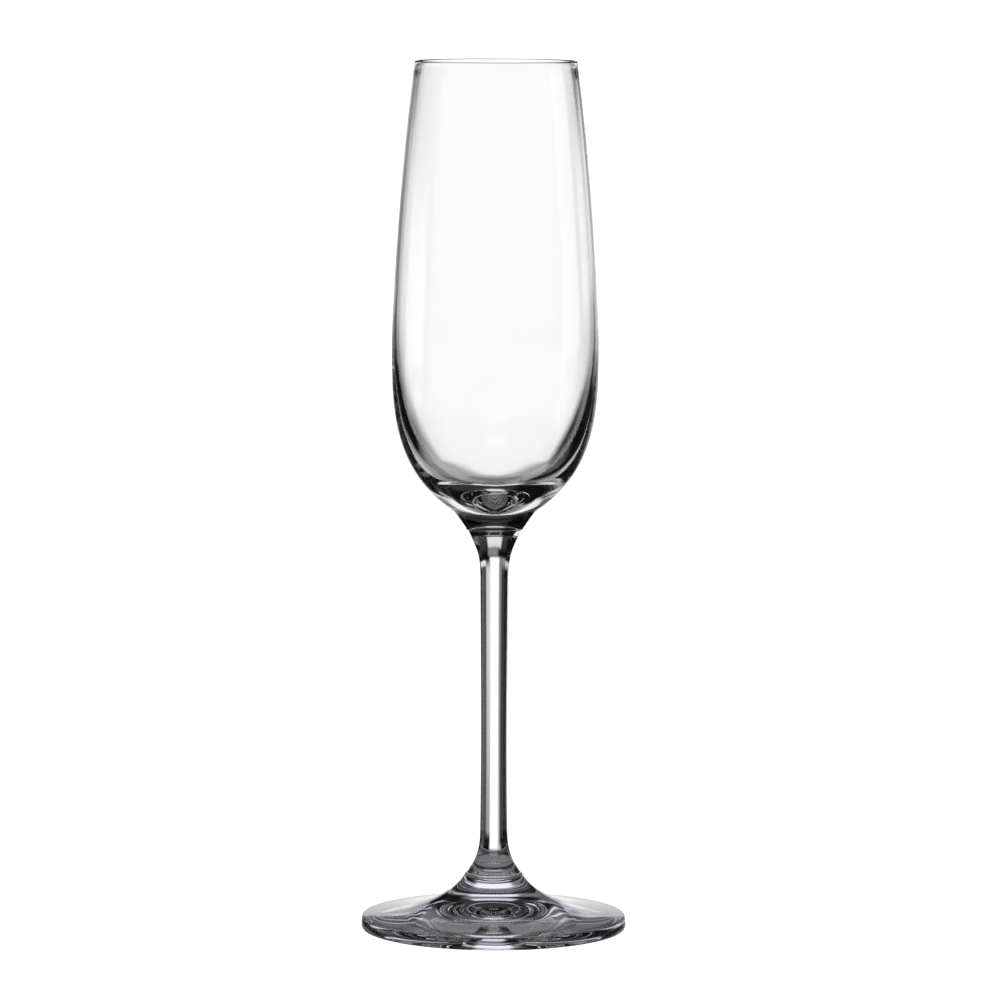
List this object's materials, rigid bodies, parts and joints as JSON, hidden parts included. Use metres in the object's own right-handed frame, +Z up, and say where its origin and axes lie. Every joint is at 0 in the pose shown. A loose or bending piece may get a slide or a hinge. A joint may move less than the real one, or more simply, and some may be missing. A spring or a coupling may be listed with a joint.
{
  "type": "champagne flute",
  "caption": "Clear stemmed flute for sparkling wine: tall narrow bowl that closes in at the rim, solid neck, plain drawn stem and round sloping foot, fused end to end.",
  "frame": {"origin": "on the table plane, under the middle of the foot", "axes": "+Z up along the stem's axis, from the foot to the rim; the flute is round, so X and Y are any two directions across it"},
  "size_m": [0.0688, 0.0688, 0.225],
  "materials": {
    "bowl_glass": "clear, fire-polished, with a slight pull in the thick heel",
    "stem_glass": "clear, drawn, with faint lengthwise ripples",
    "foot_glass": "clear with a very slight cool tint, pressed and fire-polished"
  },
  "bodies": {
    "root": {"bowl": "bowl_glass", "stem": "stem_glass", "foot": "foot_glass"}
  },
  "joints": []
}
